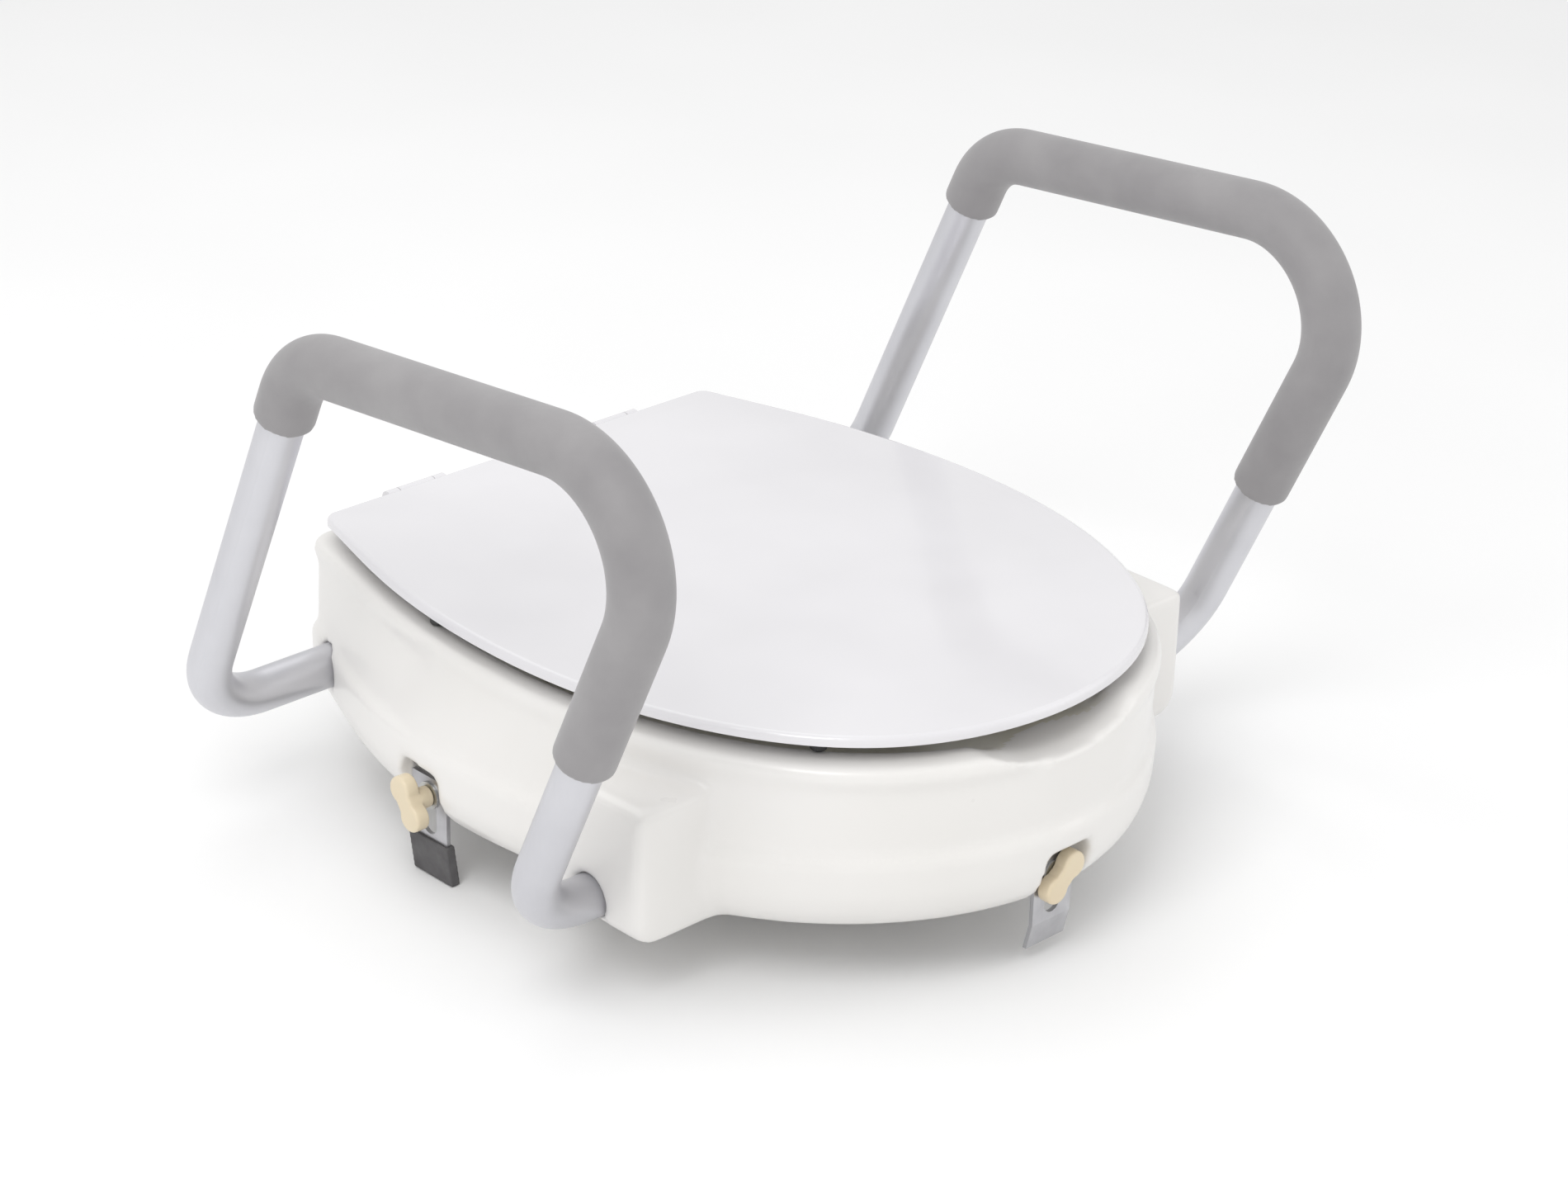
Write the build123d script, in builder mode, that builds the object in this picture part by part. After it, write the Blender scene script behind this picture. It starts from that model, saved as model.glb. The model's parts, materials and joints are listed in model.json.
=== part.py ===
from build123d import *

import os
from math import atan2, cos, degrees, hypot, radians, sin, tan

# Raised toilet seat with a hinged lid, two padded armrests and three bowl clamps.
# Millimetres. The origin is at the middle of the seat on the plane of the bowl's rim.
# +X points to the sitter's left, -Y to the front, +Z up. Right and left are the sitter's.

os.makedirs("parts", exist_ok=True)

# ---------------------------------------------------------------- driving dimensions

SIDES = (("right", -1), ("left", 1))

# Half outlines seen from above, from the rear corner round to the front tip.
RIM_OUTLINE = [(150, 210), (176, 112), (187, 15), (174, -101), (121, -200), (0, -250)]
BASE_OUTLINE = [(152, 210), (191, 112), (206, 20), (187, -97), (125, -197), (0, -250)]
DISH_OUTLINE = [(128, 180), (157, 105), (171, 13), (156, -92), (106, -181), (0, -231)]
SEAT_OUTLINE = [(40, 108), (84, 78), (105, 5), (95, -76), (59, -130), (0, -150)]
LID_OUTLINE = [(146, 199.5), (170, 116), (183, 20), (164, -115), (103, -204), (0, -237)]
OUTLINE_CENTRE = (0, -20)

# Riser
base_height = 1.5
rim_height = 100
ledge_height = 45
wall = 4.5
dish_wall = 6
hollow_top = 84
corner_radius = 14
seat_corner_radius = 36
dish_floor = 76
dip_radius = 143
dip_bottom = 89

# Side bosses that hold the front ends of the armrests
boss_outer = 210
boss_inner = 150
boss_front = -141
boss_back = -70
boss_height = 80
boss_edge = 4
boss_top_round = 5.5
boss_bottom_round = 14

# Armrests
tube_radius = 12.5
tube_bore = 11
socket_radius = tube_radius + 0.08
arm_plane = 257
front_foot = (-99.5, 17.5)
front_top = (-227, 304.6)
rear_top = (68, 279)
rear_foot = (176, 33.5)
foot_bend = 46
front_bend = 58
rear_bend = 42
front_stub_end = 130
rear_stub_end = 98
grip_radius = 16.7
grip_bore = tube_radius + 0.05
grip_front_height = 134.5
grip_rear_height = 241
plug_length = 8

# Lid and hinges
lid_bottom = 109.5
lid_top = 115
lid_skin = 3.8
lid_edge = 5
hinge_x = 75
hinge_y = 205
hinge_height = 108
knuckle_radius = 4.6
knuckle_width = 25
ear_width = 8
hinge_gap = 0.5
hinge_pin_radius = 2
hinge_plate = 2.5
hinge_plate_front = 184
bumper_radius = 4.5
bumper_gap = 0.3
bumper_places = [(168.5, 70), (-168.5, 70), (115, -172), (-115, -172)]
hinge_screw_places = [(offset + x, 190) for x in (-hinge_x, hinge_x) for offset in (-13, 13)]

# Base pan, its screws and the pads on the bowl's rim
pan_bottom = 4.5
pan_top = 7.5
pillar_radius = 6
pan_screw_places = [(98, 142), (-98, 142), (150, -5), (-150, -5), (92, -176), (-92, -176)]
pad_radius = 12
pad_places = [(0, 160), (128, 98), (-128, 98), (146, -45), (-146, -45), (56, -192), (-56, -192)]

# Clamps: distances out are negative into the wall, from the wall's own outer face
stud_height = 13
stud_radius = 3.9
pocket_half_width = 17.3
pocket_depth = 13.1
pocket_top = 32
block_half_width = 24
block_depth = 36
block_top = 36
stud_head = 5.3
stud_reach = block_depth + stud_head
bracket_back = -12.8
bracket_thickness = 2.5
bracket_half_width = 14.6
bracket_top = 24
bracket_kink = -15
bracket_flare = 3.5
slot_half_width = 6
slot_bottom = -5
washer_back = -10.2
washer_thickness = 1.2
knob_back = -8.9
knob_thickness = 8.4
knob_hub_radius = 6.2
knob_cap = 2
side_hub_length = 8.4
knob_reach = 8.3
knob_lobe = 8
sleeve_wall = 1.8
sleeve_top = -13.5

front_site = Plane(origin=(0, -247, 0), x_dir=(1, 0, 0), z_dir=(0, -1, 0))
right_site = Plane(origin=(-205, 47, 0), x_dir=(0, -1, 0), z_dir=(-1, 0, 0))
left_site = Plane(origin=(205, 47, 0), x_dir=(0, 1, 0), z_dir=(1, 0, 0))

# Name, place, lowest point of the bracket, the angle its knob is left at and the knob's hub
CLAMPS = (
    ("front", front_site, -30, 42, 0),
    ("right", right_site, -37, 122, side_hub_length),
    ("left", left_site, -37, 60, side_hub_length),
)


# ---------------------------------------------------------------- outlines


def blend(first, second, share):
    """The outline that lies the given share of the way from one outline to another."""
    return [
        (ax + (bx - ax) * share, ay + (by - ay) * share)
        for (ax, ay), (bx, by) in zip(first, second)
    ]


def inset(points, amount):
    """The outline drawn in towards the seat's middle; a negative amount draws it out."""
    middle_x, middle_y = OUTLINE_CENTRE
    moved = []
    for x, y in points:
        reach = hypot(x - middle_x, y - middle_y)
        share = 1 - amount / reach
        moved.append((middle_x + (x - middle_x) * share, middle_y + (y - middle_y) * share))
    moved[-1] = (0, moved[-1][1])
    return moved


def outline(points, height, radius=corner_radius):
    """A closed face at a height: a straight rear edge, round corners and a curved front."""
    corner_x, rear_y = points[0]
    shoulder_x, shoulder_y = points[1]
    turn = atan2(rear_y - shoulder_y, shoulder_x - corner_x)
    setback = radius * tan(turn / 2)
    arc_start = (corner_x - setback, rear_y)
    far_side = [(-x, y) for x, y in reversed(points[1:-1])]
    with BuildSketch(Plane.XY.offset(height)) as flat:
        with BuildLine():
            corner_arc = JernArc(arc_start, (1, 0), radius, -degrees(turn))
            side_start = corner_arc @ 1
            side_end = (-side_start.X, side_start.Y)
            tangents = ((cos(turn), -sin(turn)), (cos(turn), sin(turn)))
            both_sides = Spline(
                side_start, *points[1:], *far_side, side_end, tangents=tangents, mode=Mode.PRIVATE
            )
            one_side = both_sides.trim(0, both_sides.param_at_point(Vector(*points[-1])))
            add(one_side)
            mirror(one_side, about=Plane.YZ)
            mirror(corner_arc, about=Plane.YZ)
            Line((-arc_start[0], rear_y), arc_start)
        make_face()
    return flat.sketch


def save(part, label):
    """Label a finished piece and write it to its own file."""
    part.label = label
    export_step(part, f"parts/{label}.step")


# ---------------------------------------------------------------- riser

# Blocks left solid inside the hollow ring: sockets, clamp seats and screw pillars.
with BuildPart() as inner_blocks:
    for _, side in SIDES:
        with BuildSketch(Plane.XY.offset(-1)):
            with Locations((side * 164, -99.5)):
                Rectangle(92, 39)
        extrude(amount=block_top + 1)
        with BuildSketch(Plane.XY.offset(14)):
            with Locations((side * 135, 176)):
                Rectangle(86, 32)
        extrude(amount=38)
    for _, site, *_ in CLAMPS:
        with BuildSketch(site.offset(-block_depth)):
            with Locations((0, (block_top - 1) / 2)):
                Rectangle(2 * block_half_width, block_top + 1)
        extrude(amount=block_depth)
    with BuildSketch(Plane.XY.offset(pan_top)):
        with Locations(*pan_screw_places):
            Circle(pillar_radius)
    extrude(amount=rim_height - pan_top)

# The dished top and the skirt below it, as a solid that fills the seat's opening.
with BuildPart() as dish_body:
    loft(
        [
            outline(blend(inset(SEAT_OUTLINE, -10), inset(DISH_OUTLINE, -1), 0.8), hollow_top, 20),
            outline(inset(SEAT_OUTLINE, -10), dish_floor - 8, seat_corner_radius),
            outline(inset(SEAT_OUTLINE, -dish_wall), dish_floor - 13, seat_corner_radius),
            outline(inset(SEAT_OUTLINE, -dish_wall), base_height, seat_corner_radius),
        ],
        ruled=True,
    )

# The hollow between the outer wall and the skirt.
with BuildPart() as hollow:
    loft(
        [
            outline(inset(BASE_OUTLINE, 22), base_height),
            outline(inset(BASE_OUTLINE, 14.5), 6),
            outline(inset(BASE_OUTLINE, wall + 4), 14),
            outline(inset(BASE_OUTLINE, wall + 1), 24),
            outline(inset(blend(BASE_OUTLINE, RIM_OUTLINE, 0.1), wall), ledge_height - 1),
            outline(inset(blend(BASE_OUTLINE, RIM_OUTLINE, 0.15), wall + 4), ledge_height + 5),
            outline(inset(blend(BASE_OUTLINE, RIM_OUTLINE, 0.88), wall + 4), hollow_top),
        ],
        ruled=True,
    )
    add(dish_body.part, mode=Mode.SUBTRACT)
    add(inner_blocks.part, mode=Mode.SUBTRACT)

with BuildPart() as boss:
    with BuildSketch(Plane.XZ.offset(-boss_back)) as boss_profile:
        with Locations(((boss_inner + boss_outer) / 2, (base_height + boss_height) / 2)):
            Rectangle(boss_outer - boss_inner, boss_height - base_height)
        bottom_corner, top_corner = boss_profile.vertices().group_by(Axis.X)[-1].sort_by(Axis.Y)
        fillet(bottom_corner, boss_bottom_round)
        fillet(top_corner, boss_top_round)
    extrude(amount=boss_back - boss_front)
    fillet(boss.faces().sort_by(Axis.Y)[0].edges().sort_by(Axis.X)[1:], boss_edge)
    fillet(boss.faces().sort_by(Axis.Y)[-1].edges().sort_by(Axis.X)[1:], boss_edge)

with BuildPart() as riser_body:
    loft(
        [
            outline(inset(BASE_OUTLINE, 17), base_height),
            outline(inset(BASE_OUTLINE, 10), 6),
            outline(inset(BASE_OUTLINE, 4), 14),
            outline(inset(BASE_OUTLINE, 1), 24),
            outline(blend(BASE_OUTLINE, RIM_OUTLINE, 0.1), ledge_height),
            outline(inset(blend(BASE_OUTLINE, RIM_OUTLINE, 0.15), 4), ledge_height + 3),
            outline(inset(blend(BASE_OUTLINE, RIM_OUTLINE, 0.9), 3), 86),
            outline(RIM_OUTLINE, rim_height - 6),
            outline(inset(RIM_OUTLINE, 1.5), rim_height - 1.5),
            outline(inset(RIM_OUTLINE, 5), rim_height),
        ],
        ruled=True,
    )
    add(boss.part)
    add(mirror(boss.part, about=Plane.YZ, mode=Mode.PRIVATE))
    # The dish and the seat's opening.
    loft(
        [
            outline(DISH_OUTLINE, rim_height),
            outline(inset(DISH_OUTLINE, 5), rim_height - 8),
            outline(inset(SEAT_OUTLINE, -3), dish_floor, seat_corner_radius),
            outline(SEAT_OUTLINE, dish_floor - 3, seat_corner_radius),
            outline(SEAT_OUTLINE, base_height, seat_corner_radius),
        ],
        ruled=True,
        mode=Mode.SUBTRACT,
    )
    add(hollow.part, mode=Mode.SUBTRACT)
    # The shallow dip in the front of the rim.
    with BuildSketch(Plane.XZ.offset(200)):
        with Locations((0, dip_bottom + dip_radius)):
            Circle(dip_radius)
    extrude(amount=80, mode=Mode.SUBTRACT)
    # Armrest sockets.
    for _, side in SIDES:
        for (y, z), start in ((front_foot, 118), (rear_foot, 92)):
            with BuildSketch(Plane(origin=(side * start, y, z), z_dir=(side, 0, 0))):
                Circle(socket_radius)
            extrude(amount=130, mode=Mode.SUBTRACT)
    # Clamp pockets: room for the knob, the sliding bracket and the stud.
    for _, site, *_ in CLAMPS:
        with BuildSketch(site.offset(-pocket_depth)):
            with Locations((0, pocket_top / 2 - 1)):
                Rectangle(2 * pocket_half_width, pocket_top + 2)
        extrude(amount=40, mode=Mode.SUBTRACT)
        with BuildSketch(site.offset(-pocket_depth)):
            with Locations((0, 20)):
                Rectangle(2 * bracket_half_width + 0.8, 51)
        extrude(amount=bracket_thickness + 0.6, mode=Mode.SUBTRACT)
        with BuildSketch(site.offset(-block_depth - 1)):
            with Locations((0, stud_height)):
                Circle(stud_radius)
        extrude(amount=block_depth, mode=Mode.SUBTRACT)
    # Pilot holes for the pan's screws and the hinges' screws.
    with BuildSketch(Plane.XY.offset(pan_top)):
        with Locations(*pan_screw_places):
            Circle(1.9)
    extrude(amount=16, mode=Mode.SUBTRACT)
    with BuildSketch(Plane.XY.offset(rim_height)):
        with Locations(*hinge_screw_places):
            Circle(1.9)
    extrude(amount=-12, mode=Mode.SUBTRACT)
save(riser_body.part, "riser_body")

with BuildPart() as base_pan:
    with BuildSketch(Plane.XY.offset(pan_bottom)):
        add(outline(inset(BASE_OUTLINE, 17.5), 0))
        add(outline(inset(SEAT_OUTLINE, -dish_wall - 0.3), 0, seat_corner_radius), mode=Mode.SUBTRACT)
        with Locations(*[(side * 164, -99.5) for _, side in SIDES]):
            Rectangle(92.6, 39.6, mode=Mode.SUBTRACT)
        with Locations((0, front_site.origin.Y)):
            Rectangle(2 * block_half_width + 0.6, 2 * stud_reach + 0.6, mode=Mode.SUBTRACT)
        with Locations((right_site.origin.X, right_site.origin.Y), (left_site.origin.X, left_site.origin.Y)):
            Rectangle(2 * stud_reach + 0.6, 2 * block_half_width + 0.6, mode=Mode.SUBTRACT)
        with Locations(*pan_screw_places):
            Circle(1.9, mode=Mode.SUBTRACT)
    extrude(amount=pan_top - pan_bottom)
save(base_pan.part, "base_pan")

with BuildPart() as pan_screws:
    with BuildSketch(Plane.XY.offset(pan_bottom - 2.2)):
        with Locations(*pan_screw_places):
            Circle(4)
    extrude(amount=2.2)
    with BuildSketch(Plane.XY.offset(pan_bottom)):
        with Locations(*pan_screw_places):
            Circle(1.9)
    extrude(amount=15)
save(pan_screws.part, "pan_screws")

with BuildPart() as underside_pads:
    with BuildSketch():
        with Locations(*pad_places):
            Circle(pad_radius)
    extrude(amount=pan_bottom)
    fillet(underside_pads.faces().group_by(Axis.Z)[0].edges(), 1)
save(underside_pads.part, "underside_pads")

# ---------------------------------------------------------------- hinges and lid

with BuildPart() as hinge_bases:
    for _, side in SIDES:
        middle = side * hinge_x
        plate_length = hinge_y + 1 - hinge_plate_front
        with BuildSketch(Plane.XY.offset(rim_height)):
            with Locations((middle, hinge_plate_front + plate_length / 2)):
                Rectangle(knuckle_width + 2 * (ear_width + hinge_gap), plate_length)
            with Locations(*hinge_screw_places):
                Circle(1.9, mode=Mode.SUBTRACT)
        extrude(amount=hinge_plate)
        for start in (-knuckle_width / 2 - hinge_gap - ear_width, knuckle_width / 2 + hinge_gap):
            with BuildSketch(Plane(origin=(middle + start, 0, 0), x_dir=(0, 1, 0), z_dir=(1, 0, 0))):
                with Locations((hinge_y, hinge_height)):
                    Circle(knuckle_radius)
                with Locations((hinge_y - knuckle_radius / 2 + 0.5, (rim_height + hinge_height) / 2)):
                    Rectangle(knuckle_radius + 1, hinge_height - rim_height)
                with Locations((hinge_y, hinge_height)):
                    Circle(hinge_pin_radius, mode=Mode.SUBTRACT)
            extrude(amount=ear_width)
save(hinge_bases.part, "hinge_bases")

with BuildPart() as hinge_pins:
    for _, side in SIDES:
        half_length = knuckle_width / 2 + hinge_gap + ear_width
        pin_start = Plane(origin=(side * hinge_x - half_length, hinge_y, hinge_height), z_dir=(1, 0, 0))
        with BuildSketch(pin_start):
            Circle(hinge_pin_radius)
        extrude(amount=2 * half_length)
save(hinge_pins.part, "hinge_pins")

with BuildPart() as hinge_screws:
    with Locations(*[(x, y, rim_height + hinge_plate) for x, y in hinge_screw_places]):
        Cylinder(3.6, 1.8, align=(Align.CENTER, Align.CENTER, Align.MIN))
        Cylinder(1.9, 12, align=(Align.CENTER, Align.CENTER, Align.MAX))
save(hinge_screws.part, "hinge_screws")

with BuildPart() as lid:
    with BuildSketch(Plane.XY.offset(lid_bottom)):
        add(outline(LID_OUTLINE, 0, 9))
    extrude(amount=lid_top - lid_bottom)
    fillet(lid.faces().sort_by(Axis.Z)[-1].edges(), 3)
    with BuildSketch(Plane.XY.offset(lid_bottom)):
        add(outline(inset(LID_OUTLINE, lid_edge), 0, 7))
    extrude(amount=lid_top - lid_bottom - lid_skin, mode=Mode.SUBTRACT)
    for _, side in SIDES:
        knuckle_start = Plane(
            origin=(side * hinge_x - knuckle_width / 2, 0, 0), x_dir=(0, 1, 0), z_dir=(1, 0, 0)
        )
        with BuildSketch(knuckle_start):
            with Locations((hinge_y, hinge_height)):
                Circle(knuckle_radius)
            with Locations(((192 + hinge_y) / 2, (lid_bottom + hinge_height + 4) / 2)):
                Rectangle(hinge_y - 192, hinge_height + 4 - lid_bottom)
        extrude(amount=knuckle_width)
        with BuildSketch(knuckle_start):
            with Locations((hinge_y, hinge_height)):
                Circle(hinge_pin_radius + 0.06)
        extrude(amount=knuckle_width, mode=Mode.SUBTRACT)
save(lid.part, "lid")

with BuildPart() as lid_bumpers:
    with BuildSketch(Plane.XY.offset(rim_height + bumper_gap)):
        with Locations(*bumper_places):
            Circle(bumper_radius)
    extrude(amount=lid_top - lid_skin - rim_height - bumper_gap)
    fillet(lid_bumpers.faces().group_by(Axis.Z)[0].edges(), 1.5)
save(lid_bumpers.part, "lid_bumpers")

# ---------------------------------------------------------------- armrests


def on_leg(foot, top, height):
    """The y of a leg's centre line at a height."""
    share = (height - foot[1]) / (top[1] - foot[1])
    return foot[0] + (top[0] - foot[0]) * share


for side_name, side in SIDES:
    plane_x = side * arm_plane
    legs = [
        (plane_x, rear_foot[0], rear_foot[1]),
        (plane_x, rear_top[0], rear_top[1]),
        (plane_x, front_top[0], front_top[1]),
        (plane_x, front_foot[0], front_foot[1]),
    ]
    rear_start = (side * rear_stub_end, rear_foot[0], rear_foot[1])
    front_end = (side * front_stub_end, front_foot[0], front_foot[1])

    with BuildPart() as arm_tube:
        with BuildLine() as tube_path:
            FilletPolyline(
                rear_start, *legs, front_end, radius=[foot_bend, rear_bend, front_bend, foot_bend]
            )
        with BuildSketch(Plane(origin=rear_start, z_dir=(side, 0, 0))):
            Circle(tube_radius)
            Circle(tube_bore, mode=Mode.SUBTRACT)
        sweep(path=tube_path.wires()[0])
    save(arm_tube.part, f"{side_name}_arm_tube")

    grip_start = (plane_x, on_leg(rear_foot, rear_top, grip_rear_height), grip_rear_height)
    grip_end = (plane_x, on_leg(front_foot, front_top, grip_front_height), grip_front_height)
    with BuildPart() as arm_grip:
        with BuildLine() as grip_path:
            FilletPolyline(grip_start, legs[1], legs[2], grip_end, radius=[rear_bend, front_bend])
        with BuildSketch(Plane(origin=grip_start, z_dir=grip_path.wires()[0] % 0)):
            Circle(grip_radius)
            Circle(grip_bore, mode=Mode.SUBTRACT)
        sweep(path=grip_path.wires()[0])
    save(arm_grip.part, f"{side_name}_arm_grip")

    with BuildPart() as tube_plugs:
        for end, (y, z) in ((rear_stub_end, rear_foot), (front_stub_end, front_foot)):
            with BuildSketch(Plane(origin=(side * end, y, z), z_dir=(side, 0, 0))):
                Circle(tube_bore)
            extrude(amount=plug_length)
            with BuildSketch(Plane(origin=(side * end, y, z), z_dir=(-side, 0, 0))):
                Circle(tube_radius - 0.3)
            extrude(amount=2)
    save(tube_plugs.part, f"{side_name}_tube_plugs")

# ---------------------------------------------------------------- clamps

for clamp_name, site, lowest, knob_angle, hub_length in CLAMPS:
    side_on = Plane(origin=site.origin, x_dir=site.z_dir, z_dir=-site.x_dir)
    wing_back = knob_back + hub_length

    with BuildPart() as clamp_stud:
        with BuildSketch(site.offset(-block_depth)):
            with Locations((0, stud_height)):
                Circle(stud_radius)
        extrude(amount=block_depth + wing_back + knob_thickness - knob_cap - 0.1)
        chamfer(clamp_stud.faces().sort_by(Axis(site.origin, site.z_dir))[-1].edges(), 0.8)
        with BuildSketch(site.offset(-block_depth)):
            with Locations((0, stud_height)):
                RegularPolygon(6.5, 6, major_radius=False)
        extrude(amount=-stud_head)
    save(clamp_stud.part, f"{clamp_name}_clamp_stud")

    bracket_front = bracket_back + bracket_thickness
    with BuildPart() as clamp_bracket:
        with BuildSketch(side_on):
            with BuildLine():
                Polyline(
                    (bracket_back, bracket_top),
                    (bracket_front, bracket_top),
                    (bracket_front, bracket_kink),
                    (bracket_front - bracket_flare, lowest),
                    (bracket_back - bracket_flare, lowest),
                    (bracket_back, bracket_kink),
                    close=True,
                )
            make_face()
        extrude(amount=bracket_half_width, both=True)
        with BuildSketch(site.offset(bracket_back - 1)):
            with Locations((0, (slot_bottom + stud_height + 1) / 2)):
                SlotCenterToCenter(stud_height + 1 - slot_bottom, 2 * slot_half_width, rotation=90)
        extrude(amount=bracket_thickness + 2, mode=Mode.SUBTRACT)
    save(clamp_bracket.part, f"{clamp_name}_clamp_bracket")

    with BuildPart() as clamp_washer:
        with BuildSketch(site.offset(washer_back)):
            with Locations((0, stud_height)):
                Circle(8)
                Circle(stud_radius + 0.08, mode=Mode.SUBTRACT)
        extrude(amount=washer_thickness)
    save(clamp_washer.part, f"{clamp_name}_clamp_washer")

    lobe_x = knob_reach * cos(radians(knob_angle))
    lobe_y = knob_reach * sin(radians(knob_angle))
    with BuildPart() as wing_knob:
        with BuildSketch(site.offset(wing_back)):
            with Locations((lobe_x, stud_height + lobe_y), (-lobe_x, stud_height - lobe_y)):
                Circle(knob_lobe)
            with Locations((0, stud_height)):
                Rectangle(2 * knob_reach, 1.5 * knob_lobe, rotation=knob_angle)
        extrude(amount=knob_thickness)
        fillet(wing_knob.faces().sort_by(Axis(site.origin, site.z_dir))[-1].edges(), 1.5)
        if hub_length:
            with BuildSketch(site.offset(knob_back)):
                with Locations((0, stud_height)):
                    Circle(knob_hub_radius)
            extrude(amount=hub_length)
        with BuildSketch(site.offset(knob_back)):
            with Locations((0, stud_height)):
                Circle(stud_radius + 0.08)
        extrude(amount=hub_length + knob_thickness - knob_cap, mode=Mode.SUBTRACT)
    save(wing_knob.part, f"{clamp_name}_wing_knob")

    if clamp_name != "front":
        with BuildPart() as bracket_sleeve:
            with BuildSketch(side_on):
                with BuildLine():
                    Polyline(
                        (bracket_back - sleeve_wall, sleeve_top),
                        (bracket_front + sleeve_wall, sleeve_top),
                        (bracket_front + sleeve_wall, bracket_kink),
                        (bracket_front + sleeve_wall - bracket_flare, lowest - sleeve_wall),
                        (bracket_back - sleeve_wall - bracket_flare, lowest - sleeve_wall),
                        (bracket_back - sleeve_wall, bracket_kink),
                        close=True,
                    )
                make_face()
            extrude(amount=bracket_half_width + sleeve_wall, both=True)
            add(clamp_bracket.part, mode=Mode.SUBTRACT)
        save(bracket_sleeve.part, f"{clamp_name}_bracket_sleeve")
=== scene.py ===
import json
import math

import bmesh
import bpy
import numpy as np
from mathutils import Matrix, Vector


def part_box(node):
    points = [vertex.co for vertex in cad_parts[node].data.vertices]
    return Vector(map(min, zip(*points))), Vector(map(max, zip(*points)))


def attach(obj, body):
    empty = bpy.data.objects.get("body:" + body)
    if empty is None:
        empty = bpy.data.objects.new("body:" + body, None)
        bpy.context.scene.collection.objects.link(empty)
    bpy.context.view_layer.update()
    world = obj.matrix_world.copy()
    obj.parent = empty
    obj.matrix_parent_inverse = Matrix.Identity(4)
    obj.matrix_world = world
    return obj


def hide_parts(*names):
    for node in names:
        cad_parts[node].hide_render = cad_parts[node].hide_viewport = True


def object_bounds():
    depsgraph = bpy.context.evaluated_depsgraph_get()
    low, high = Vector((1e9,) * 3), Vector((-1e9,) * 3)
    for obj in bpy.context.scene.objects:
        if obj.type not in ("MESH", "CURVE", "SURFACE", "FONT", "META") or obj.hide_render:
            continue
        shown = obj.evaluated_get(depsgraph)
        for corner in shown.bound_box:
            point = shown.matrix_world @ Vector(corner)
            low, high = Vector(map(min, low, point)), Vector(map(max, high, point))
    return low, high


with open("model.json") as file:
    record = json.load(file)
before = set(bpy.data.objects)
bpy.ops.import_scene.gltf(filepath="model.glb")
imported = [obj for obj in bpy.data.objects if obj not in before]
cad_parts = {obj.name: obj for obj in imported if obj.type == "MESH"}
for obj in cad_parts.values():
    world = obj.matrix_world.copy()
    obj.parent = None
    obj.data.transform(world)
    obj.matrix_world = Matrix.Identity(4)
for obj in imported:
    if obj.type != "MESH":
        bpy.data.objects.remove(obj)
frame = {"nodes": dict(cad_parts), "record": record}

# Looks for the raised toilet seat, in metres and in the CAD's frame: the camera, the
# materials, and finer meshes over the riser, the grips, the sleeves and the wing knobs.

MM = 0.001
scene = bpy.context.scene
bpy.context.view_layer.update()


# ---------------------------------------------------------------- camera

AZIMUTH = math.radians(-44.51)
ELEVATION = math.radians(25.34)
ROLL = math.radians(1.66)
DISTANCE = 2.2166
TARGET = Vector((0.0262, 0, 0.0788))

back = Vector(
    (
        math.sin(AZIMUTH) * math.cos(ELEVATION),
        -math.cos(AZIMUTH) * math.cos(ELEVATION),
        math.sin(ELEVATION),
    )
)
level_right = (-back).cross(Vector((0, 0, 1))).normalized()
level_up = level_right.cross(-back)
right = math.cos(ROLL) * level_right + math.sin(ROLL) * level_up
up = math.cos(ROLL) * level_up - math.sin(ROLL) * level_right

camera_data = bpy.data.cameras.new("camera")
camera_data.sensor_width = 36
camera_data.lens = 89.77
camera_data.clip_end = 50
camera = bpy.data.objects.new("camera", camera_data)
scene.collection.objects.link(camera)
place = Matrix.Identity(4)
for column, axis in enumerate((right, up, back)):
    for row in range(3):
        place[row][column] = axis[row]
place.translation = TARGET + DISTANCE * back
camera.matrix_world = place
scene.camera = camera
scene.view_settings.view_transform = "Standard"


# ---------------------------------------------------------------- materials


def new_material(
    name, colour, roughness, metallic=0.0, specular=0.5, coat=0.0, coat_roughness=0.1
):
    """A principled material; the constant values sit on the shader's own sockets."""
    material = bpy.data.materials.new(name)
    material.use_nodes = True
    shader = material.node_tree.nodes["Principled BSDF"]
    shader.inputs["Base Color"].default_value = (*colour, 1)
    shader.inputs["Roughness"].default_value = roughness
    shader.inputs["Metallic"].default_value = metallic
    shader.inputs["Specular IOR Level"].default_value = specular
    shader.inputs["Coat Weight"].default_value = coat
    shader.inputs["Coat Roughness"].default_value = coat_roughness
    return material


def noise(material, scale, detail=2.0, stretch=(1, 1, 1)):
    """Object-space noise; returns its factor output."""
    nodes, links = material.node_tree.nodes, material.node_tree.links
    coordinates = nodes.new("ShaderNodeTexCoord")
    mapping = nodes.new("ShaderNodeMapping")
    mapping.inputs["Scale"].default_value = stretch
    texture = nodes.new("ShaderNodeTexNoise")
    texture.inputs["Scale"].default_value = scale
    texture.inputs["Detail"].default_value = detail
    links.new(coordinates.outputs["Object"], mapping.inputs["Vector"])
    links.new(mapping.outputs["Vector"], texture.inputs["Vector"])
    return texture.outputs["Fac"]


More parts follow.
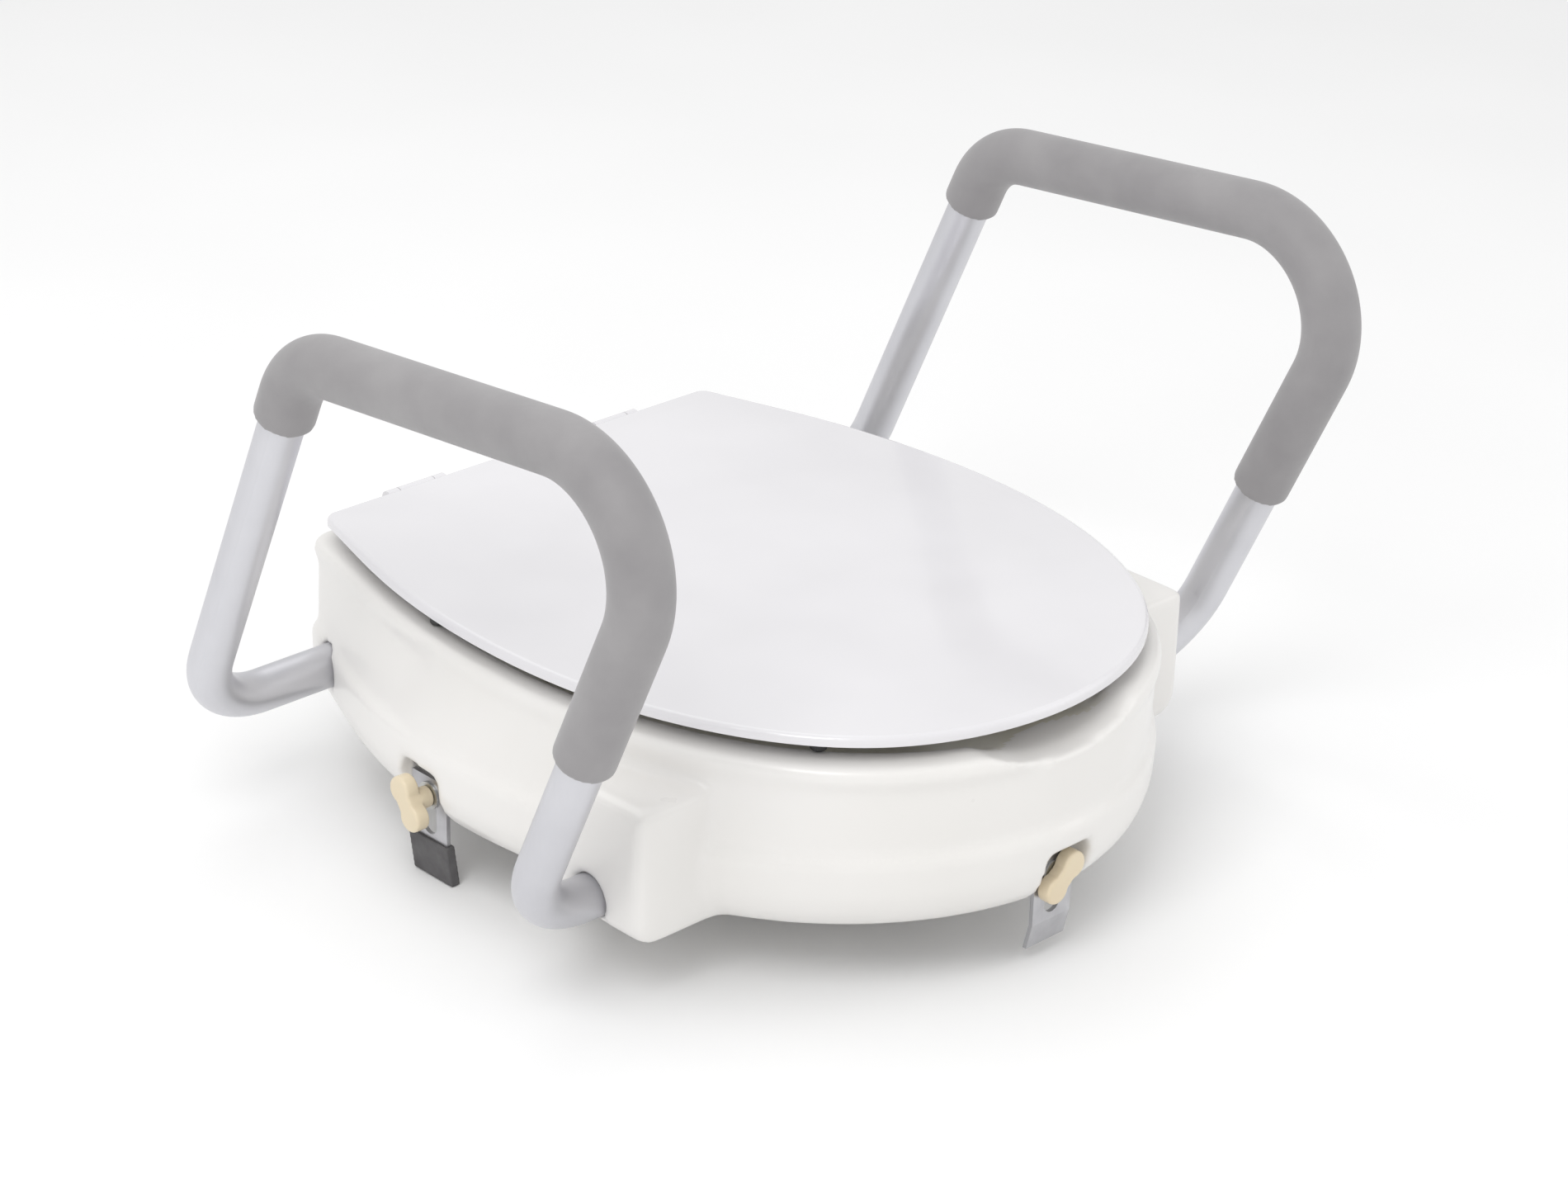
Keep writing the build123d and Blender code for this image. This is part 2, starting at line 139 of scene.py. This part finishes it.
def vary_colour(material, factor, dark, light, low=0.3, high=0.7):
    """Base colour from one shade to another along a factor."""
    nodes, links = material.node_tree.nodes, material.node_tree.links
    ramp = nodes.new("ShaderNodeValToRGB")
    ramp.color_ramp.elements[0].position = low
    ramp.color_ramp.elements[0].color = (*dark, 1)
    ramp.color_ramp.elements[1].position = high
    ramp.color_ramp.elements[1].color = (*light, 1)
    links.new(factor, ramp.inputs["Fac"])
    links.new(ramp.outputs["Color"], nodes["Principled BSDF"].inputs["Base Color"])


def vary_roughness(material, factor, low, high):
    """Roughness between two values along a factor."""
    nodes, links = material.node_tree.nodes, material.node_tree.links
    spread = nodes.new("ShaderNodeMapRange")
    spread.inputs["To Min"].default_value = low
    spread.inputs["To Max"].default_value = high
    links.new(factor, spread.inputs["Value"])
    links.new(spread.outputs["Result"], nodes["Principled BSDF"].inputs["Roughness"])


def add_bump(material, factor, strength, distance):
    """Bump from a height factor."""
    nodes, links = material.node_tree.nodes, material.node_tree.links
    bump = nodes.new("ShaderNodeBump")
    bump.inputs["Strength"].default_value = strength
    bump.inputs["Distance"].default_value = distance
    links.new(factor, bump.inputs["Height"])
    shader_normal = nodes["Principled BSDF"].inputs["Normal"]
    if shader_normal.is_linked:
        links.new(shader_normal.links[0].from_socket, bump.inputs["Normal"])
    links.new(bump.outputs["Normal"], shader_normal)


def paint_shade_by_height(material, below, above, low, high):
    """Paints shade by height: blends the base colour from one colour below a height to another
    above it.
    """
    nodes, links = material.node_tree.nodes, material.node_tree.links
    coordinates = nodes.new("ShaderNodeTexCoord")
    split = nodes.new("ShaderNodeSeparateXYZ")
    climb = nodes.new("ShaderNodeMapRange")
    climb.inputs["From Min"].default_value = low
    climb.inputs["From Max"].default_value = high
    links.new(coordinates.outputs["Object"], split.inputs["Vector"])
    links.new(split.outputs["Z"], climb.inputs["Value"])
    vary_colour(material, climb.outputs["Result"], below, above, 0.0, 1.0)


def plastic(name, dark, light, roughness, coat=0.0, waviness=0.05):
    """Moulded plastic: faint colour drift, uneven gloss and a slight surface wave."""
    material = new_material(name, light, roughness, coat=coat, coat_roughness=0.08)
    vary_colour(material, noise(material, 9), dark, light)
    vary_roughness(material, noise(material, 40, 4), roughness * 0.8, roughness * 1.25)
    add_bump(material, noise(material, 30), waviness, 0.0006)
    add_bump(material, noise(material, 1400, 3), 0.03, 0.0001)
    return material


def rubber(name, dark, light):
    """Matte moulded rubber with a fine grain."""
    material = new_material(name, light, 0.7, specular=0.4)
    vary_colour(material, noise(material, 80, 3), dark, light)
    vary_roughness(material, noise(material, 400, 3), 0.5, 0.78)
    add_bump(material, noise(material, 1600, 3), 0.2, 0.0002)
    return material


riser_plastic = plastic(
    "riser_plastic", (0.79, 0.775, 0.75), (0.825, 0.81, 0.79), 0.3, coat=0.25
)
lid_plastic = plastic(
    "lid_plastic", (0.73, 0.72, 0.74), (0.775, 0.765, 0.785), 0.2, coat=0.4, waviness=0.03
)
knob_plastic = plastic(
    "knob_plastic", (0.70, 0.58, 0.40), (0.78, 0.68, 0.50), 0.34, coat=0.15, waviness=0.1
)
plug_plastic = plastic("plug_plastic", (0.02, 0.02, 0.02), (0.035, 0.035, 0.036), 0.5)

grip_foam = new_material("grip_foam", (0.29, 0.28, 0.285), 0.75, specular=0.35)
foam_shader = grip_foam.node_tree.nodes["Principled BSDF"]
foam_shader.inputs["Sheen Weight"].default_value = 0.25
foam_shader.inputs["Sheen Roughness"].default_value = 0.5
vary_colour(grip_foam, noise(grip_foam, 25, 3), (0.265, 0.256, 0.262), (0.315, 0.305, 0.31))
vary_roughness(grip_foam, noise(grip_foam, 300, 2), 0.5, 0.68)
add_bump(grip_foam, noise(grip_foam, 60, 2), 0.12, 0.0008)
add_bump(grip_foam, noise(grip_foam, 1700, 3), 0.25, 0.0002)

tube_aluminium = new_material("tube_aluminium", (0.62, 0.62, 0.65), 0.4, metallic=0.85)
vary_colour(tube_aluminium, noise(tube_aluminium, 12, 3), (0.60, 0.60, 0.63), (0.68, 0.68, 0.71))
vary_roughness(tube_aluminium, noise(tube_aluminium, 500, 3, (1, 1, 0.06)), 0.32, 0.46)
add_bump(tube_aluminium, noise(tube_aluminium, 2500, 2, (1, 1, 0.04)), 0.05, 0.0001)

bracket_steel = new_material("bracket_steel", (0.5, 0.5, 0.52), 0.35, metallic=0.9)
vary_colour(bracket_steel, noise(bracket_steel, 60, 4), (0.46, 0.46, 0.48), (0.58, 0.58, 0.6))
vary_roughness(bracket_steel, noise(bracket_steel, 700, 3, (1, 1, 0.1)), 0.26, 0.45)
add_bump(bracket_steel, noise(bracket_steel, 1800, 2, (1, 1, 0.05)), 0.08, 0.0001)

zinc_steel = new_material("zinc_steel", (0.55, 0.55, 0.54), 0.35, metallic=1.0)
vary_colour(zinc_steel, noise(zinc_steel, 150, 4), (0.44, 0.44, 0.43), (0.62, 0.62, 0.6))
vary_roughness(zinc_steel, noise(zinc_steel, 300, 3), 0.25, 0.5)
add_bump(zinc_steel, noise(zinc_steel, 900, 3), 0.08, 0.0002)

sleeve_rubber = rubber("sleeve_rubber", (0.085, 0.082, 0.085), (0.125, 0.122, 0.125))
pad_rubber = rubber("pad_rubber", (0.05, 0.05, 0.05), (0.085, 0.085, 0.085))

# Painted shade and painted reflected light: the dish's inner faces turn olive towards the bottom
# of the bowl, in place of the shade and yellowish reflected light that fall there.
dish_painted_shade = plastic(
    "riser_dish_painted_shade", (0.80, 0.785, 0.765), (0.84, 0.83, 0.815), 0.3, coat=0.25
)
paint_shade_by_height(dish_painted_shade, (0.66, 0.63, 0.50), (0.80, 0.785, 0.76), 0.086, 0.099)

FINISHES = {
    "riser_plastic": riser_plastic,
    "lid_plastic": lid_plastic,
    "knob_plastic": knob_plastic,
    "plug_plastic": plug_plastic,
    "grip_foam": grip_foam,
    "tube_aluminium": tube_aluminium,
    "bracket_steel": bracket_steel,
    "zinc_steel": zinc_steel,
    "sleeve_rubber": sleeve_rubber,
    "pad_rubber": pad_rubber,
}

slot_of = {row["node"]: row["material_slot"] for row in frame["record"]["subparts"]}
for name, node in frame["nodes"].items():
    for slot in node.material_slots:
        slot.material = FINISHES[slot_of[name]]
    if not node.material_slots:
        node.data.materials.append(FINISHES[slot_of[name]])


# ---------------------------------------------------------------- mesh helpers


def finish_piece(piece, node, body, material):
    """Gives the piece its material in its own material slot and its body, and hides the CAD node
    that the piece stands for.
    """
    piece.data.materials.clear()
    piece.data.materials.append(material)
    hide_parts(node)
    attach(piece, body)


def apply_modifiers(piece):
    """Bakes the piece's modifiers into its mesh."""
    graph = bpy.context.evaluated_depsgraph_get()
    baked = bpy.data.meshes.new_from_object(piece.evaluated_get(graph))
    piece.modifiers.clear()
    piece.data = baked


def remeshed(name, node, voxel):
    """A copy of a CAD node, remeshed into even small faces."""
    source = frame["nodes"][node]
    piece = bpy.data.objects.new(name, source.data.copy())
    scene.collection.objects.link(piece)
    bm = bmesh.new()
    bm.from_mesh(piece.data)
    bmesh.ops.remove_doubles(bm, verts=bm.verts, dist=1e-6)
    bm.to_mesh(piece.data)
    bm.free()
    remesh = piece.modifiers.new("remesh", "REMESH")
    remesh.mode = "VOXEL"
    remesh.voxel_size = voxel
    remesh.use_smooth_shade = True
    apply_modifiers(piece)
    return piece


def coordinates_of(piece):
    """The piece's points as rows of x, y and z."""
    co = np.empty(len(piece.data.vertices) * 3)
    piece.data.vertices.foreach_get("co", co)
    return co.reshape(-1, 3)


def store(piece, co):
    """Writes moved points back to the piece."""
    piece.data.vertices.foreach_set("co", co.ravel())
    piece.data.update()


def relax(piece, co, rounds, weight):
    """Moves each point towards the average of its neighbours, as far as its weight says."""
    count = len(co)
    pairs = np.empty(len(piece.data.edges) * 2, dtype=np.int64)
    piece.data.edges.foreach_get("vertices", pairs)
    first, second = pairs.reshape(-1, 2).T
    ends = np.concatenate((first, second))
    others = np.concatenate((second, first))
    degree = np.maximum(np.bincount(ends, minlength=count), 1)
    weight = np.broadcast_to(weight, count)[:, None]
    for _ in range(rounds):
        mean = np.stack(
            [np.bincount(ends, co[others, axis], count) / degree for axis in range(3)], axis=1
        )
        co = co + weight * (mean - co)
    return co


def cut(piece, cutters):
    """Subtracts closed shapes from a piece."""
    bpy.ops.object.select_all(action="DESELECT")
    for cutter in cutters:
        cutter.select_set(True)
    bpy.context.view_layer.objects.active = cutters[0]
    if len(cutters) > 1:
        bpy.ops.object.join()
    joined = bpy.context.view_layer.objects.active
    difference = piece.modifiers.new("cut", "BOOLEAN")
    difference.operation = "DIFFERENCE"
    difference.solver = "EXACT"
    difference.object = joined
    apply_modifiers(piece)
    bpy.data.objects.remove(joined)


def object_from(name, bm):
    """A new object from a bmesh, which is freed."""
    mesh = bpy.data.meshes.new(name)
    bm.to_mesh(mesh)
    bm.free()
    made = bpy.data.objects.new(name, mesh)
    scene.collection.objects.link(made)
    return made


def cylinder(name, centre, axis, radius, length, sides=64):
    """A closed cylinder around a centre, along an axis."""
    bm = bmesh.new()
    bmesh.ops.create_cone(
        bm, cap_ends=True, segments=sides, radius1=radius, radius2=radius, depth=length
    )
    turn = Vector((0, 0, 1)).rotation_difference(Vector(axis)).to_matrix().to_4x4()
    bmesh.ops.transform(bm, matrix=Matrix.Translation(centre) @ turn, verts=bm.verts)
    return object_from(name, bm)


def box_between(name, low, high):
    """A closed box between two corners."""
    bm = bmesh.new()
    bmesh.ops.create_cube(bm, size=1)
    for vertex in bm.verts:
        for axis in range(3):
            vertex.co[axis] = high[axis] if vertex.co[axis] > 0 else low[axis]
    return object_from(name, bm)


# ---------------------------------------------------------------- riser shell

RISER_VOXEL = 2.6 * MM
BOSS_ZONE = {"inner_x": 0.135, "front_y": -0.175, "back_y": -0.04, "top_z": 0.095}
SOCKET_RADIUS = 12.65 * MM
SOCKET_LENGTH = 0.11
SOCKET_MIDDLE_X = 0.173
PLUG_CAP_RADIUS = 12.2 * MM
SLOT_TOP = 0.0455
SLOT_WIDE_GAP = 0.7 * MM
SLOT_NARROW_GAP = 0.35 * MM
# Where the dish's painted shade goes: faces above DISH_LOWEST that face inwards, towards the
# seat's middle.
SEAT_MIDDLE = Vector((0, -0.02))
DISH_LOWEST = 0.06
DISH_LEAN = -0.12


def near_boss(co):
    """Which points lie around the two side bosses, where the joins are rounder."""
    x, y, z = np.abs(co[:, 0]), co[:, 1], co[:, 2]
    along = (y > BOSS_ZONE["front_y"]) & (y < BOSS_ZONE["back_y"])
    return (x > BOSS_ZONE["inner_x"]) & along & (z < BOSS_ZONE["top_z"])


def socket_cutters():
    """Round bores for the armrests' ends, found from the plugs inside them."""
    cutters = []
    for side, sign in (("right", -1), ("left", 1)):
        plug_low, plug_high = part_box(f"{side}_tube_plugs")
        front = (plug_low[1] + PLUG_CAP_RADIUS, plug_low[2] + PLUG_CAP_RADIUS)
        rear = (plug_high[1] - PLUG_CAP_RADIUS, plug_high[2] - PLUG_CAP_RADIUS)
        for y, z in (front, rear):
            centre = (sign * SOCKET_MIDDLE_X, y, z)
            cutters.append(cylinder("socket", centre, (1, 0, 0), SOCKET_RADIUS, SOCKET_LENGTH))
    return cutters


def bracket_cutters():
    """Slots a little larger than the three brackets that slide in them."""
    cutters = []
    for clamp in ("front", "right", "left"):
        low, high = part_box(f"{clamp}_clamp_bracket")
        if clamp == "front":
            gap = Vector((SLOT_NARROW_GAP, SLOT_WIDE_GAP, 0))
        else:
            gap = Vector((SLOT_WIDE_GAP, SLOT_NARROW_GAP, 0))
        top_corner = (high[0] + gap.x, high[1] + gap.y, SLOT_TOP)
        cutters.append(box_between("slot", Vector(low) - gap, top_corner))
    return cutters


riser = remeshed("riser_shell", "riser_body", RISER_VOXEL)
points = relax(riser, coordinates_of(riser), 4, 0.5)
points = relax(riser, points, 4, np.where(near_boss(points), 0.5, 0.0))
store(riser, points)
cut(riser, socket_cutters() + bracket_cutters())
finish_piece(riser, "riser_body", "riser", riser_plastic)
# Inward-facing faces above the dish's lowest height take the second material, which carries the
# painted shade and painted reflected light.
riser.data.materials.append(dish_painted_shade)
for polygon in riser.data.polygons:
    polygon.use_smooth = True
    outward = (polygon.center.xy - SEAT_MIDDLE).normalized()
    if polygon.center.z > DISH_LOWEST and polygon.normal.xy.dot(outward) < DISH_LEAN:
        polygon.material_index = 1


# ---------------------------------------------------------------- softened small pieces


GRIP_VOXEL = 1.3 * MM
SLEEVE_VOXEL = 0.55 * MM
KNOB_VOXEL = 0.5 * MM


def soften(name, node, body, voxel, rounds):
    """Replaces a CAD node with a remeshed copy whose edges are rounded off."""
    piece = remeshed(name, node, voxel)
    store(piece, relax(piece, coordinates_of(piece), rounds, 0.5))
    slot = slot_of[node]
    finish_piece(piece, node, body, FINISHES[slot])
    return piece


for side in ("right", "left"):
    grip = soften(f"{side}_foam_grip", f"{side}_arm_grip", f"{side}_armrest", GRIP_VOXEL, 8)
    soften(f"{side}_soft_sleeve", f"{side}_bracket_sleeve", f"{side}_bracket", SLEEVE_VOXEL, 5)
for name in ("front", "right", "left"):
    soften(f"{name}_smooth_knob", f"{name}_wing_knob", f"{name}_knob", KNOB_VOXEL, 9)


# ---------------------------------------------------------------- floor and light

FLOOR_HALF = 6
FLOOR_GAP = 0.5 * MM

floor_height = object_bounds()[0][2] - FLOOR_GAP
corners = [(-1, -1), (1, -1), (1, 1), (-1, 1)]
floor_mesh = bpy.data.meshes.new("floor")
floor_mesh.from_pydata(
    [(x * FLOOR_HALF, y * FLOOR_HALF, floor_height) for x, y in corners], [], [(0, 1, 2, 3)]
)
floor = bpy.data.objects.new("floor", floor_mesh)
scene.collection.objects.link(floor)
floor_material = new_material("floor_pale", (0.93, 0.93, 0.93), 0.8, specular=0.1)
vary_colour(floor_material, noise(floor_material, 3), (0.92, 0.92, 0.92), (0.94, 0.94, 0.94))
floor.data.materials.append(floor_material)

world = bpy.data.worlds.new("studio")
world.use_nodes = True
background = world.node_tree.nodes["Background"]
background.inputs["Color"].default_value = (1, 1, 1, 1)
background.inputs["Strength"].default_value = 0.82
scene.world = world


def area_light(name, position, size, power, target=(0, 0, 0.05)):
    """A soft square light that faces the object."""
    data = bpy.data.lights.new(name, "AREA")
    data.energy = power
    data.size = size
    light = bpy.data.objects.new(name, data)
    light.location = position
    light.rotation_euler = (Vector(target) - Vector(position)).to_track_quat("-Z", "Y").to_euler()
    scene.collection.objects.link(light)


area_light("key", (-1.2, -0.6, 1.7), 1.0, 14)
area_light("fill", (1.3, -1.2, 0.9), 1.2, 3)
area_light("top", (0.2, 0.9, 1.6), 1.2, 4)
